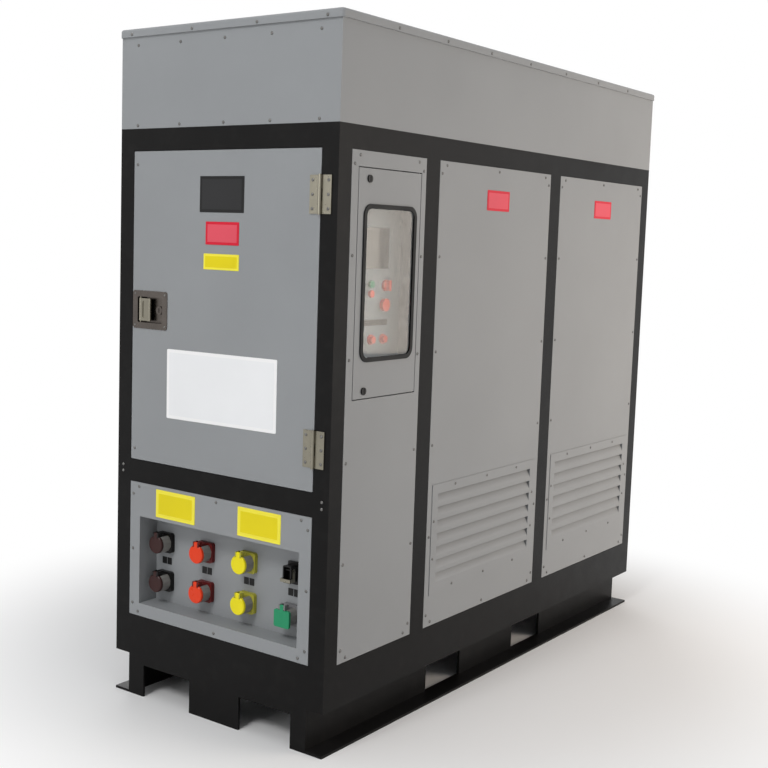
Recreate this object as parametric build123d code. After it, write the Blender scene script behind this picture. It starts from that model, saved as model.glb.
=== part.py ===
from build123d import *
import math
import os

# Generator load bank: a steel frame on a fork-lift skid, a discharge hood on top, a cable
# compartment at the front end (-Y), a control bay and two air-intake panels along the side (+X).
# Units are millimetres, +Z is up, and the origin is at the bottom centre of the whole machine.

# ---- driving dimensions ---------------------------------------------------------------
WIDTH = 860.0            # frame, across X
LENGTH = 2052.0          # frame, along Y
SKID_H = 140.0           # floor to cabinet
BASE_H = 122.0           # base rails
FRAME_TOP = 1800.0       # top of the top rails
HOOD_H = 277.0           # hood walls
CAP_H = 25.0             # rim of the hood cap
CAP_PROUD = 6.0          # overhang of the cap
POST = 58.0              # square corner posts
SIDE_POST = 72.0         # posts between the side panels
TOP_RAIL_H = 67.0
WALL = 4.0               # tube wall
SHEET = 3.0              # panel sheet
GAP = 1.5                # gap around fixed panels
DOOR_GAP = 2.0           # gap around the front door
RUN = 0.3                # running gap between moving pieces
PIN_FIT = 0.05           # radial clearance of pins
LIP = 25.0               # width of the panel seats
LIP_T = 4.0
MID_RAIL_Z = 698.0       # front cross rail under the door
MID_RAIL_H = 70.0
BAY_1 = 431.0            # side posts start here, from the front face
BAY_2 = 1218.0

HINGE_R = 6.0            # front door hinges
HINGE_PIN_R = 3.0
HINGE_LEN = 107.0
HINGE_LEAF = 38.0
HINGE_T = 3.0
HINGE_ZS = (1604.0, 893.0)

DOOR_DEEP = 22.0         # returned edge of the front door
GASKET_T = 7.0

PAN_W, PAN_H = 150.0, 118.0      # latch pan
PAN_T = 2.0
WELL_W, WELL_H, WELL_D = 112.0, 84.0, 20.0
PAN_Z = 1245.0
PADDLE_W = 44.0
PADDLE_PIN_R = 2.5
BOLT_H, BOLT_D = 24.0, 6.5
BOLT_THROW = 12.0

RECESS_MARGIN = 45.0     # socket recess from the panel's edges
RECESS_Z0, RECESS_Z1 = 305.0, 588.0
RECESS_D = 75.0
SOCKET_ENDS = 126.0      # socket axes to the two ends of the recess, together
SOCKET_MID = -14.0
SOCKET_ROWS = (500.0, 374.0)
FLANGE = 64.0
FLANGE_T = 14.0
COLLAR_R, COLLAR_BORE, COLLAR_L = 27.0, 21.0, 32.0
LID_R, LID_T = 29.0, 8.0
LID_AXIS_UP = 35.0       # lid hinge above the socket's axis
LID_PIN_R = 2.0
EAR_CUT = 4.8            # the round lids stop this far inside the collar, clear of the ears

CTRL_Y0 = 94.0           # control door, from the front face
CTRL_TO_POST = 28.0      # its other edge to the first side post
CTRL_Z0, CTRL_Z1 = 1031.0, 1684.0
CTRL_GAP = 3.0
CTRL_DEEP = 18.0
PIVOT = 6.0              # control door axis, in from its face and its edge
PIVOT_R = 2.5
WIN_IN = (26.0, 21.0)    # window from the door's two edges
WIN_Z0, WIN_Z1 = 1135.0, 1585.0
WIN_R = 34.0
GASKET_W = 13.0
LOCK_ZS = (1655.0, 1052.0)
LOCK_IN = 50.0
LOCK_R = 11.0
BOX_D = 130.0            # depth of the control box
FASCIA_D = 70.0          # fascia behind the side face
BUTTON_R = 11.0
BUTTON_TRAVEL = 4.0
DISPLAY_W, DISPLAY_H = 118.0, 120.0

LOUVRE_Z0, LOUVRE_Z1 = 363.0, 722.0
LOUVRE_MARGIN = 26.0
LOUVRE_T = 2.0
LOUVRE_OUT = 12.0
LOUVRE_H = 30.0
LOUVRE_N = 7

FAN_R = 280.0
FAN_Z = 860.0
FAN_BLADES = 7
HUB_R = 70.0
SHAFT_R = 14.0
MOTOR_R = 85.0
TIP_GAP = 8.0

ROD_R = 9.0
RACK_ZS = (1060.0, 1270.0, 1480.0)
RODS_PER_RACK = 9

FINE_N, COARSE_N = 24, 12    # sides of bars that run in no bore
BELL_N = 48                # sides of the fan bells
SCREW_R = 5.0
SCREW_H = 2.5
SCREW_IN = 15.0
SCREW_PAIR = 40.0

# ---- derived places -------------------------------------------------------------------
SIDE = WIDTH / 2
FRONT = -(LENGTH + CAP_PROUD - 2 * HINGE_R) / 2
REAR = FRONT + LENGTH
BASE_Z = SKID_H
PANEL_Z0 = SKID_H + BASE_H
PANEL_Z1 = FRAME_TOP - TOP_RAIL_H
HOOD_TOP = FRAME_TOP + HOOD_H
DOOR_X0, DOOR_X1 = -SIDE + POST + DOOR_GAP, SIDE - POST - DOOR_GAP
DOOR_Z0, DOOR_Z1 = MID_RAIL_Z + MID_RAIL_H + DOOR_GAP, PANEL_Z1 - DOOR_GAP
AXIS_X = SIDE - POST - DOOR_GAP / 2
AXIS_Y = FRONT - HINGE_R
BULK_Y = FRONT + BAY_1 + SIDE_POST / 2
PAN_X0 = DOOR_X0 + 2
RECESS_W = WIDTH - 2 * (POST + RECESS_MARGIN)
SOCKET_PITCH = (RECESS_W - SOCKET_ENDS) / 3
CTRL_Y1 = BAY_1 - CTRL_TO_POST
WIN_Y0, WIN_Y1 = CTRL_Y0 + WIN_IN[0], CTRL_Y1 - WIN_IN[1]
LOCK_Y = CTRL_Y0 + LOCK_IN
DISPLAY_Y0, DISPLAY_Z0 = CTRL_Y0 + 120, WIN_Z0 + 265
BAYS = ((POST, BAY_1), (BAY_1 + SIDE_POST, BAY_2), (BAY_2 + SIDE_POST, LENGTH - POST))


# ---- helpers --------------------------------------------------------------------------
def block(x0, x1, y0, y1, z0, z1):
    return Pos((x0 + x1) / 2, (y0 + y1) / 2, (z0 + z1) / 2) * Box(x1 - x0, y1 - y0, z1 - z0)


def tube(x0, x1, y0, y1, z0, z1, along, capped=False):
    """A square tube along "x", "y" or "z", with open ends unless it is capped."""
    cut = [0 if along == a and not capped else WALL for a in "xyz"]
    over = [1 if along == a and not capped else 0 for a in "xyz"]
    inner = block(x0 + cut[0] - over[0], x1 - cut[0] + over[0], y0 + cut[1] - over[1],
                  y1 - cut[1] + over[1], z0 + cut[2] - over[2], z1 - cut[2] + over[2])
    return block(x0, x1, y0, y1, z0, z1) - inner


def rounded(width, height, r):
    return RectangleRounded(width, height, r) if r else Rectangle(width, height)


def front_plate(x0, x1, z0, z1, y0, t, r=0.0):
    """A plate facing -Y, from y0 inward by t."""
    plane = Plane(origin=((x0 + x1) / 2, y0 + t, (z0 + z1) / 2), x_dir=(1, 0, 0), z_dir=(0, -1, 0))
    return extrude(plane * rounded(x1 - x0, z1 - z0, r), amount=t)


def side_plate(y0, y1, z0, z1, x1, t, r=0.0):
    """A plate facing +X, from x1 inward by t; y is counted from the front face."""
    plane = Plane(origin=(x1 - t, FRONT + (y0 + y1) / 2, (z0 + z1) / 2),
                  x_dir=(0, 1, 0), z_dir=(1, 0, 0))
    return extrude(plane * rounded(y1 - y0, z1 - z0, r), amount=t)


def rod(axis, r, at, length, sides=0):
    """A cylinder, or a many-sided bar where no fit needs a true circle, from the point at.

    It runs along +X, +Y or +Z, or back for a negative length.
    """
    turn = {"x": (0, 90, 0), "y": (-90, 0, 0), "z": (0, 0, 0)}[axis]
    start = list(at)
    if length < 0:
        start["xyz".index(axis)] += length
    align = (Align.CENTER, Align.CENTER, Align.MIN)
    if sides:
        return Pos(*start) * Rot(*turn) * extrude(RegularPolygon(r, sides), amount=abs(length))
    return Pos(*start) * Rot(*turn) * Cylinder(r, abs(length), align=align)


def mirrored(solids):
    return [mirror(s, about=Plane.YZ) for s in solids]


def save(name, solids):
    flat = []
    for item in solids if isinstance(solids, list) else [solids]:
        flat += list(item.solids())
    export_step(flat[0] if len(flat) == 1 else Compound(children=flat), f"parts/{name}.step")


# ---- skid and frame -------------------------------------------------------------------
SKID_T = 8.0
WEB_IN = 61.0            # web in from the cabinet's side
SIDE_POCKETS = ((626.0, 835.0), (1193.0, 1402.0))    # fork pockets from the front face
END_POCKETS = ((-302.0, -98.0), (108.0, 311.0))
POCKET_H = 104.0
INNER_PLATES = (520.0, 1500.0)


def skid_rail():
    web_x = SIDE - WEB_IN
    rail = block(web_x - SKID_T, web_x, FRONT, REAR, 0, SKID_H)
    rail += block(web_x - 1, SIDE, FRONT, REAR, 0, SKID_T)
    rail += block(web_x - 1, SIDE, FRONT, REAR, SKID_H - SKID_T, SKID_H)
    for y0, y1 in SIDE_POCKETS:
        rail -= block(web_x - 20, web_x + 1, FRONT + y0, FRONT + y1, SKID_T, POCKET_H)
    return rail


def skid_cross_plates():
    inner = SIDE - WEB_IN - SKID_T
    plates = []
    for y0 in (FRONT, FRONT + INNER_PLATES[0], FRONT + INNER_PLATES[1], REAR - SKID_T):
        plate = block(-inner, inner, y0, y0 + SKID_T, 0, SKID_H)
        for x0, x1 in END_POCKETS:
            plate -= block(x0, x1, y0 - 1, y0 + SKID_T + 1, -1, POCKET_H)
        plates.append(plate)
    return plates


def ring_rails(z0, z1):
    """Four rails: the end ones run full width, the long ones fit between them."""
    return [tube(-SIDE, SIDE, FRONT, FRONT + POST, z0, z1, "x", capped=True),
            tube(-SIDE, SIDE, REAR - POST, REAR, z0, z1, "x", capped=True),
            tube(SIDE - POST, SIDE, FRONT + POST, REAR - POST, z0, z1, "y"),
            tube(-SIDE, -SIDE + POST, FRONT + POST, REAR - POST, z0, z1, "y")]


def base_rails():
    rails = ring_rails(BASE_Z, PANEL_Z0)
    for y in (LENGTH * 0.25, LENGTH * 0.5, LENGTH * 0.75):
        rails.append(tube(-SIDE + POST, SIDE - POST, FRONT + y - 30, FRONT + y + 30,
                          BASE_Z, PANEL_Z0 - SHEET, "x"))
    return rails


def corner_posts():
    posts = []
    for x0 in (-SIDE, SIDE - POST):
        for y0 in (FRONT, REAR - POST):
            posts.append(tube(x0, x0 + POST, y0, y0 + POST, PANEL_Z0, PANEL_Z1, "z"))
    return posts


def side_posts():
    posts = []
    for x0 in (-SIDE, SIDE - POST):
        for y0 in (BAY_1, BAY_2):
            posts.append(tube(x0, x0 + POST, FRONT + y0, FRONT + y0 + SIDE_POST,
                              PANEL_Z0, PANEL_Z1, "z"))
    return posts


def seat_bars(plate, a0, a1, z0, z1, face):
    """Four flat bars round the inside of an opening, made with front_plate or side_plate."""
    return [plate(a0, a0 + LIP, z0, z1, face, LIP_T),
            plate(a1 - LIP, a1, z0, z1, face, LIP_T),
            plate(a0 + LIP, a1 - LIP, z0, z0 + LIP, face, LIP_T),
            plate(a0 + LIP, a1 - LIP, z1 - LIP, z1, face, LIP_T)]


def panel_lips():
    """Flat seats inside each opening, behind its panel, and the stop behind the front door."""
    lips = []
    for y0, y1 in BAYS:
        bars = seat_bars(side_plate, y0, y1, PANEL_Z0, PANEL_Z1, SIDE - SHEET)
        lips += bars + mirrored(bars)
    x1 = SIDE - POST
    door_stop = FRONT + DOOR_DEEP + GASKET_T + RUN
    lips += seat_bars(front_plate, -x1, x1, MID_RAIL_Z + MID_RAIL_H, PANEL_Z1, door_stop)
    lips += seat_bars(front_plate, -x1, x1, PANEL_Z0, MID_RAIL_Z, FRONT + SHEET)
    lips += seat_bars(front_plate, -x1, x1, PANEL_Z0, PANEL_Z1, REAR - SHEET - LIP_T)
    return lips


# ---- hood -----------------------------------------------------------------------------
BAR_T, BAR_D, BARS = 5.0, 16.0, 20


def hood_panels():
    inner = SIDE - SHEET
    side = block(inner, SIDE, FRONT + SHEET, REAR - SHEET, FRAME_TOP, HOOD_TOP)
    return [block(-SIDE, SIDE, FRONT, FRONT + SHEET, FRAME_TOP, HOOD_TOP),
            block(-SIDE, SIDE, REAR - SHEET, REAR, FRAME_TOP, HOOD_TOP),
            side] + mirrored([side])


def hood_cap():
    """A rolled rim that sits on the walls, open in the middle for the hot air."""
    mid_y = (FRONT + REAR) / 2
    outer = Pos(0, mid_y, HOOD_TOP) * extrude(
        RectangleRounded(WIDTH + 2 * CAP_PROUD, LENGTH + 2 * CAP_PROUD, 12), amount=CAP_H)
    outer = fillet(outer.faces().sort_by(Axis.Z)[-1].edges(), 8)
    return outer - block(-SIDE + 50, SIDE - 50, FRONT + 50, REAR - 50, HOOD_TOP - 1,
                         HOOD_TOP + CAP_H + 1) \
        - block(-SIDE + 3, SIDE - 3, FRONT + 3, REAR - 3, HOOD_TOP - 1, HOOD_TOP + CAP_H - 4)


def discharge_grille():
    """A bar grating that hangs in the cap's opening: cross bars on three long ties."""
    top = HOOD_TOP + CAP_H - 4
    x1, y0, y1 = SIDE - 6, FRONT + 6, REAR - 6
    bars = []
    step = (y1 - y0 - BAR_T) / (BARS - 1)
    for i in range(BARS):
        y = y0 + i * step
        bars.append(block(-x1, x1, y, y + BAR_T, top - BAR_D, top))
    for x in (-x1, -BAR_T / 2, x1 - BAR_T):
        bars.append(block(x, x + BAR_T, y0, y1, top - 2 * BAR_D, top - BAR_D))
    return bars


# ---- front door -----------------------------------------------------------------------
def front_door():
    door = front_plate(DOOR_X0, DOOR_X1, DOOR_Z0, DOOR_Z1, FRONT, DOOR_DEEP, 3)
    door -= front_plate(DOOR_X0 + SHEET, DOOR_X1 - SHEET, DOOR_Z0 + SHEET, DOOR_Z1 - SHEET,
                        FRONT + SHEET, DOOR_DEEP)
    well = front_plate(PAN_X0 + (PAN_W - WELL_W) / 2, PAN_X0 + (PAN_W + WELL_W) / 2,
                       PAN_Z - WELL_H / 2, PAN_Z + WELL_H / 2, FRONT - 5, 30)
    slot = block(DOOR_X0 - 1, DOOR_X0 + 5, bolt_y0() - RUN, bolt_y0() + BOLT_D + RUN,
                 PAN_Z - BOLT_H / 2 - RUN, PAN_Z + BOLT_H / 2 + RUN)
    hat = extrude(Plane(origin=(0, 0, DOOR_Z0 + SHEET), z_dir=(0, 0, 1)) * Pos(60, FRONT + SHEET)
                  * Polygon((-35, 0), (35, 0), (22, 16), (-22, 16), align=None),
                  amount=DOOR_Z1 - DOOR_Z0 - 2 * SHEET)
    hat_hollow = extrude(Plane(origin=(0, 0, DOOR_Z0), z_dir=(0, 0, 1))
                         * Pos(60, FRONT + SHEET)
                         * Polygon((-31, 0), (31, 0), (20, 14), (-20, 14), align=None),
                         amount=DOOR_Z1 - DOOR_Z0)
    hat_hollow &= block(-200, 300, FRONT + SHEET, FRONT + 40, DOOR_Z0 + SHEET + 5,
                        DOOR_Z1 - SHEET - 5)
    return door - well - slot + (hat - hat_hollow)


def bolt_y0():
    return FRONT + 11.0


def door_gasket():
    y0 = FRONT + DOOR_DEEP
    ring = front_plate(DOOR_X0, DOOR_X1, DOOR_Z0, DOOR_Z1, y0, GASKET_T, 3)
    return ring - front_plate(DOOR_X0 + 14, DOOR_X1 - 14, DOOR_Z0 + 14, DOOR_Z1 - 14, y0 - 1, 20, 3)


def hinge_leaf(z_mid, on_door):
    """Three knuckles: the middle one is the door's, the outer two are the post's."""
    third = HINGE_LEN / 3
    z0 = z_mid - HINGE_LEN / 2
    side = -1 if on_door else 1
    clear = HINGE_R + 2 * RUN
    xs = sorted((AXIS_X + side * clear, AXIS_X + side * HINGE_LEAF))
    leaf = block(xs[0], xs[1], FRONT - HINGE_T, FRONT, z0, z0 + HINGE_LEN)
    knuckles = (1,) if on_door else (0, 2)
    for k in knuckles:
        low = z0 + k * third + RUN / 2
        high = z0 + (k + 1) * third - RUN / 2
        tab = sorted((AXIS_X + side * 3, AXIS_X + side * (clear + 1)))
        leaf += block(tab[0], tab[1], FRONT - HINGE_T, FRONT, low, high)
        leaf += rod("z", HINGE_R, (AXIS_X, AXIS_Y, low), high - low, COARSE_N)
    return leaf - rod("z", HINGE_PIN_R + PIN_FIT, (AXIS_X, AXIS_Y, z0 - 1), HINGE_LEN + 2)


def hinge_pins():
    pins = []
    for z in HINGE_ZS:
        pin = rod("z", HINGE_PIN_R, (AXIS_X, AXIS_Y, z - HINGE_LEN / 2), HINGE_LEN)
        for end in (z - HINGE_LEN / 2 - 2, z + HINGE_LEN / 2):
            pin += rod("z", HINGE_R - 1, (AXIS_X, AXIS_Y, end), 2, COARSE_N)
        pins.append(pin)
    return pins


# ---- latch ----------------------------------------------------------------------------
WELL_X0 = PAN_X0 + (PAN_W - WELL_W) / 2
PADDLE_X = WELL_X0 + 9.0
PADDLE_Y = FRONT + 5.0
PADDLE_H = 70.0


def latch_pan():
    x1 = PAN_X0 + PAN_W
    z0, z1 = PAN_Z - WELL_H / 2, PAN_Z + WELL_H / 2
    pan = front_plate(PAN_X0, x1, PAN_Z - PAN_H / 2, PAN_Z + PAN_H / 2, FRONT - PAN_T, PAN_T, 9)
    pan += front_plate(WELL_X0, WELL_X0 + WELL_W, z0, z1, FRONT - 1, WELL_D + 1)
    pan -= front_plate(WELL_X0 + PAN_T, WELL_X0 + WELL_W - PAN_T, z0 + PAN_T, z1 - PAN_T,
                       FRONT - 10, WELL_D + 10 - PAN_T, 5)
    pan -= rod("z", PADDLE_PIN_R + PIN_FIT, (PADDLE_X, PADDLE_Y, z0 - 1), WELL_H + 2)
    lock = rod("y", 13, (WELL_X0 + WELL_W - 24, FRONT + WELL_D - PAN_T, PAN_Z), -12, FINE_N)
    lock -= block(WELL_X0 + WELL_W - 25.5, WELL_X0 + WELL_W - 22.5, FRONT, FRONT + 12,
                  PAN_Z - 7, PAN_Z + 7)
    case = block(WELL_X0 - 8, WELL_X0, bolt_y0() - 3, bolt_y0() + BOLT_D + 3,
                 PAN_Z - BOLT_H / 2 - 4, PAN_Z + BOLT_H / 2 + 4)
    case -= block(WELL_X0 - 9, WELL_X0 + 1, bolt_y0() - RUN, bolt_y0() + BOLT_D + RUN,
                  PAN_Z - BOLT_H / 2 - RUN, PAN_Z + BOLT_H / 2 + RUN)
    hole = block(WELL_X0 - 1, WELL_X0 + PAN_T + 1, bolt_y0() - RUN, bolt_y0() + BOLT_D + RUN,
                 PAN_Z - BOLT_H / 2 - RUN, PAN_Z + BOLT_H / 2 + RUN)
    return [pan + lock + case - hole]


def latch_paddle():
    """A rounded pull with its pivot pin at the left edge; the pin turns in the pan's walls."""
    plane = Plane(origin=(0, 0, PAN_Z - PADDLE_H / 2), z_dir=(0, 0, 1))
    section = plane * Pos(PADDLE_X, PADDLE_Y) * RectangleRounded(
        PADDLE_W, 9, 4, align=(Align.MIN, Align.CENTER))
    barrel = plane * Pos(PADDLE_X, PADDLE_Y) * Circle(5.5)
    grip = extrude(section, amount=PADDLE_H) + extrude(barrel, amount=PADDLE_H)
    grip -= front_plate(PADDLE_X + 12, PADDLE_X + 32, PAN_Z - 26, PAN_Z + 26, FRONT - 5, 7.5, 4)
    return grip + rod("z", PADDLE_PIN_R, (PADDLE_X, PADDLE_Y, PAN_Z - WELL_H / 2 + 0.2),
                      WELL_H - 0.4)


def latch_bolt():
    return block(DOOR_X0, WELL_X0 + PAN_T, bolt_y0(), bolt_y0() + BOLT_D,
                 PAN_Z - BOLT_H / 2, PAN_Z + BOLT_H / 2)


# ---- socket panel ---------------------------------------------------------------------
def socket_panel():
    x1 = SIDE - POST - GAP
    rx = SIDE - POST - RECESS_MARGIN
    panel = front_plate(-x1, x1, PANEL_Z0 + GAP, MID_RAIL_Z - GAP, FRONT, SHEET)
    panel += front_plate(-rx - SHEET, rx + SHEET, RECESS_Z0 - SHEET, RECESS_Z1 + SHEET,
                         FRONT, RECESS_D + SHEET)
    return panel - front_plate(-rx, rx, RECESS_Z0, RECESS_Z1, FRONT - 1, RECESS_D + 1)


def socket_x(column):
    return SOCKET_MID + (column - 1.5) * SOCKET_PITCH


def lid_axis(z):
    return FRONT + RECESS_D - FLANGE_T - COLLAR_L - LID_T / 2, z + LID_AXIS_UP


def socket(column, z):
    """A flanged industrial socket: square flange, round collar, contacts and lid ears."""
    x, back = socket_x(column), FRONT + RECESS_D
    half = FLANGE / 2
    body = front_plate(x - half, x + half, z - half, z + half, back - FLANGE_T, FLANGE_T, 9)
    body += rod("y", COLLAR_R, (x, back - FLANGE_T, z), -COLLAR_L, FINE_N)
    body -= rod("y", COLLAR_BORE, (x, back - FLANGE_T + 4, z), -COLLAR_L - 10, FINE_N)
    for i in range(3):
        a = math.radians(90 + 120 * i)
        body += rod("y", 3.2, (x + 11 * math.cos(a), back - FLANGE_T + 4, z + 11 * math.sin(a)), -22,
                    COARSE_N // 2)
    ay, az = lid_axis(z)
    ear = block(x - 12, x + 12, ay - 4, ay + 14, z + COLLAR_R - 3, az + 4)
    ear -= block(x - 7, x + 7, ay - 5, ay + 15, z + COLLAR_R - 5, az + 5)
    ear -= rod("y", COLLAR_R - 1, (x, back, z), -200, FINE_N)
    ear -= rod("x", LID_PIN_R + PIN_FIT, (x - 20, ay, az), 40)
    return body + ear


def socket_lid(column, z, square=False):
    x = socket_x(column)
    ay, az = lid_axis(z)
    face = FRONT + RECESS_D - FLANGE_T - COLLAR_L - RUN
    if square:
        lid = front_plate(x - LID_R, x + LID_R, z - LID_R, z + COLLAR_R - 4, face - LID_T, LID_T, 6)
    else:
        lid = rod("y", LID_R, (x, face, z), -LID_T, FINE_N)
        lid = chamfer(lid.faces().sort_by(Axis.Y)[0].edges(), 2)
    lid -= block(x - 13, x + 13, face - 20, face + 5, z + COLLAR_R - EAR_CUT, z + 60)
    lid += block(x - 7 + RUN, x + 7 - RUN, face - LID_T, face - 1, z + COLLAR_R - 8, az)
    lid += rod("x", 3.8, (x - 7 + RUN, ay, az), 14 - 2 * RUN, COARSE_N)
    lid += rod("x", LID_PIN_R, (x - 12, ay, az), 24)
    return lid


def link_connector():
    """The small rectangular control-link connector with trunnions for its clip."""
    x, z = socket_x(3), SOCKET_ROWS[0]
    back = FRONT + RECESS_D
    body = front_plate(x - 20, x + 20, z - 34, z + 34, back - 6, 6, 4)
    body += front_plate(x - 16, x + 16, z - 26, z + 26, back - 34, 30, 5)
    body -= front_plate(x - 12, x + 12, z - 22, z + 22, back - 40, 28, 3)
    return body + rod("x", 3, (x - 19, back - 24, z + 12), 38)


def link_clip():
    """A wire bail on the connector's trunnions."""
    x, z = socket_x(3), SOCKET_ROWS[0]
    back = FRONT + RECESS_D
    clip = block(x - 19, x + 19, back - 42, back - 39, z - 22, z - 12)
    for s in (-1, 1):
        xs = sorted((x + s * 16.3, x + s * 19))
        clip += block(xs[0], xs[1], back - 42, back - 19, z - 22, z - 12)
        clip += block(xs[0], xs[1], back - 28, back - 19, z - 14, z + 12)
        clip += rod("x", 5, (xs[0], back - 24, z + 12), xs[1] - xs[0], COARSE_N)
    return clip - rod("x", 3 + PIN_FIT, (x - 30, back - 24, z + 12), 60)


# ---- control bay ----------------------------------------------------------------------
PIVOT_X = SIDE - PIVOT
PIVOT_Y = CTRL_Y1 - PIVOT


def control_panel():
    y0, y1 = BAYS[0]
    panel = side_plate(y0 + GAP, y1 - GAP, PANEL_Z0 + GAP, PANEL_Z1 - GAP, SIDE, SHEET)
    return panel - side_plate(CTRL_Y0 - CTRL_GAP, CTRL_Y1 + CTRL_GAP, CTRL_Z0 - CTRL_GAP,
                              CTRL_Z1 + CTRL_GAP, SIDE + 5, 20)


def control_door():
    door = side_plate(CTRL_Y0, CTRL_Y1, CTRL_Z0, CTRL_Z1, SIDE, CTRL_DEEP)
    hollow = side_plate(CTRL_Y0 + SHEET, CTRL_Y1 - 2 * PIVOT, CTRL_Z0 + SHEET, CTRL_Z1 - SHEET,
                        SIDE - SHEET, 40)
    door -= hollow
    inset = GASKET_W / 2
    door -= side_plate(WIN_Y0 + inset, WIN_Y1 - inset, WIN_Z0 + inset, WIN_Z1 - inset,
                       SIDE + 5, 40, WIN_R - inset)
    for z in LOCK_ZS:
        door -= rod("x", LOCK_R - 4 + PIN_FIT, (SIDE - 30, FRONT + LOCK_Y, z), 60)
    for z, length in ((CTRL_Z0, -10), (CTRL_Z1, 10)):
        door += rod("z", PIVOT_R, (PIVOT_X, FRONT + PIVOT_Y, z), length)
    return door


def window_gasket():
    """A grooved rubber section that grips the door's cut edge outside and the pane inside."""
    inset = GASKET_W / 2
    ring = side_plate(WIN_Y0, WIN_Y1, WIN_Z0, WIN_Z1, SIDE + 4, 4, WIN_R)
    ring += side_plate(WIN_Y0 + inset, WIN_Y1 - inset, WIN_Z0 + inset, WIN_Z1 - inset,
                       SIDE, SHEET + 1, WIN_R - inset)
    return ring - side_plate(WIN_Y0 + GASKET_W, WIN_Y1 - GASKET_W, WIN_Z0 + GASKET_W,
                             WIN_Z1 - GASKET_W, SIDE + 9, 30, WIN_R - GASKET_W)


def window_pane():
    return side_plate(WIN_Y0 + GASKET_W, WIN_Y1 - GASKET_W, WIN_Z0 + GASKET_W,
                      WIN_Z1 - GASKET_W, SIDE + 1, SHEET + 1, WIN_R - GASKET_W)


def quarter_turn(z):
    """Slotted head, spindle through the door and a cam that swings behind the seat."""
    y = FRONT + LOCK_Y
    lock = rod("x", LOCK_R, (SIDE, y, z), 4, FINE_N)
    lock -= block(SIDE + 2, SIDE + 6, y - 1.5, y + 1.5, z - 8, z + 8)
    lock += rod("x", LOCK_R - 4, (SIDE - SHEET - 22, y, z), SHEET + 22)
    toward = -1 if z > (CTRL_Z0 + CTRL_Z1) / 2 else 1
    zs = sorted((z - toward * 7, z + toward * 20))
    return lock + block(SIDE - SHEET - 22, SIDE - SHEET - 19, y - 7, y + 7, zs[0], zs[1])


def hinge_brackets():
    pads = []
    for z in (CTRL_Z0 - CTRL_GAP - 7, CTRL_Z1 + CTRL_GAP):
        pad = block(SIDE - SHEET - 18, SIDE - SHEET, FRONT + PIVOT_Y - 12, FRONT + CTRL_Y1 + CTRL_GAP,
                    z, z + 7)
        pads.append(pad - rod("z", PIVOT_R + PIN_FIT, (PIVOT_X, FRONT + PIVOT_Y, z - 1), 9))
    return pads


BOX_Y0, BOX_Y1 = CTRL_Y0 - 8, CTRL_Y1 + 6
BOX_Z0, BOX_Z1 = CTRL_Z0 - 24, CTRL_Z1 + 22
BOX_FACE = SIDE - SHEET - LIP_T


def control_box():
    """An open-fronted sheet box; the door closes over its mouth."""
    box = side_plate(BOX_Y0, BOX_Y1, BOX_Z0, BOX_Z1, BOX_FACE, BOX_D - SHEET - LIP_T)
    hollow = side_plate(BOX_Y0 + 2, BOX_Y1 - 2, BOX_Z0 + 2, BOX_Z1 - 2, BOX_FACE + 1,
                        BOX_D - SHEET - LIP_T - 1)
    return [box - hollow] + hinge_brackets()


def control_fascia():
    fascia = side_plate(BOX_Y0 + 2, BOX_Y1 - 2, BOX_Z0 + 2, BOX_Z1 - 2, SIDE - FASCIA_D, 3)
    for y, z in (START_AT, STOP_AT, ESTOP_AT, KNOB_AT):
        fascia -= rod("x", BUTTON_R - 3 + PIN_FIT, (SIDE - FASCIA_D - 10, FRONT + y, z), 20)
    return fascia


START_AT, STOP_AT = (252.0, 1354.0), (252.0, 1326.0)
KNOB_AT, ESTOP_AT = (330.0, 1350.0), (318.0, 1292.0)
LAMPS_AT = ((262.0, 1190.0), (322.0, 1190.0))


def button(at, r, proud):
    y, z = FRONT + at[0], at[1]
    face = SIDE - FASCIA_D
    cap = rod("x", r, (face + BUTTON_TRAVEL + RUN, y, z), proud, FINE_N)
    return cap + rod("x", BUTTON_R - 3, (face - 14, y, z), 14 + BUTTON_TRAVEL + 1)


def selector_knob():
    y, z = FRONT + KNOB_AT[0], KNOB_AT[1]
    face = SIDE - FASCIA_D + RUN
    knob = rod("x", 17, (face, y, z), 8, FINE_N) + block(face, face + 20, y - 5, y + 5, z - 16, z + 16)
    return knob + rod("x", BUTTON_R - 3, (face - 14, y, z), 15)


def display_unit():
    y0, y1, z0, z1 = DISPLAY_Y0, DISPLAY_Y0 + DISPLAY_W, DISPLAY_Z0, DISPLAY_Z0 + DISPLAY_H
    unit = side_plate(y0, y1, z0, z1, SIDE - FASCIA_D + 9, 9, 5)
    return unit - side_plate(y0 + 12, y1 - 12, z0 + 26, z1 - 12, SIDE - FASCIA_D + 12, 4)


def indicator_lamps():
    lamps = []
    for y, z in LAMPS_AT:
        base = rod("x", 15, (SIDE - FASCIA_D, FRONT + y, z), 5, FINE_N)
        lamps.append(base + rod("x", 11, (SIDE - FASCIA_D + 4, FRONT + y, z), 10, FINE_N))
    return lamps


# ---- side panels and louvres ----------------------------------------------------------
def plain_panel(bay):
    y0, y1 = BAYS[bay]
    return side_plate(y0 + GAP, y1 - GAP, PANEL_Z0 + GAP, PANEL_Z1 - GAP, SIDE, SHEET)


def intake_panel(bay):
    y0, y1 = BAYS[bay]
    inset = LOUVRE_MARGIN + 30
    return plain_panel(bay) - side_plate(y0 + inset, y1 - inset, LOUVRE_Z0 + 30, LOUVRE_Z1 - 30,
                                         SIDE + 5, 20)


def body_panels():
    x1 = SIDE - POST - GAP
    right = [intake_panel(1), intake_panel(2)]
    rear = front_plate(-x1, x1, PANEL_Z0 + GAP, PANEL_Z1 - GAP, REAR - SHEET, SHEET)
    return right + mirrored(right) + mirrored([plain_panel(0)]) + [rear]


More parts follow.
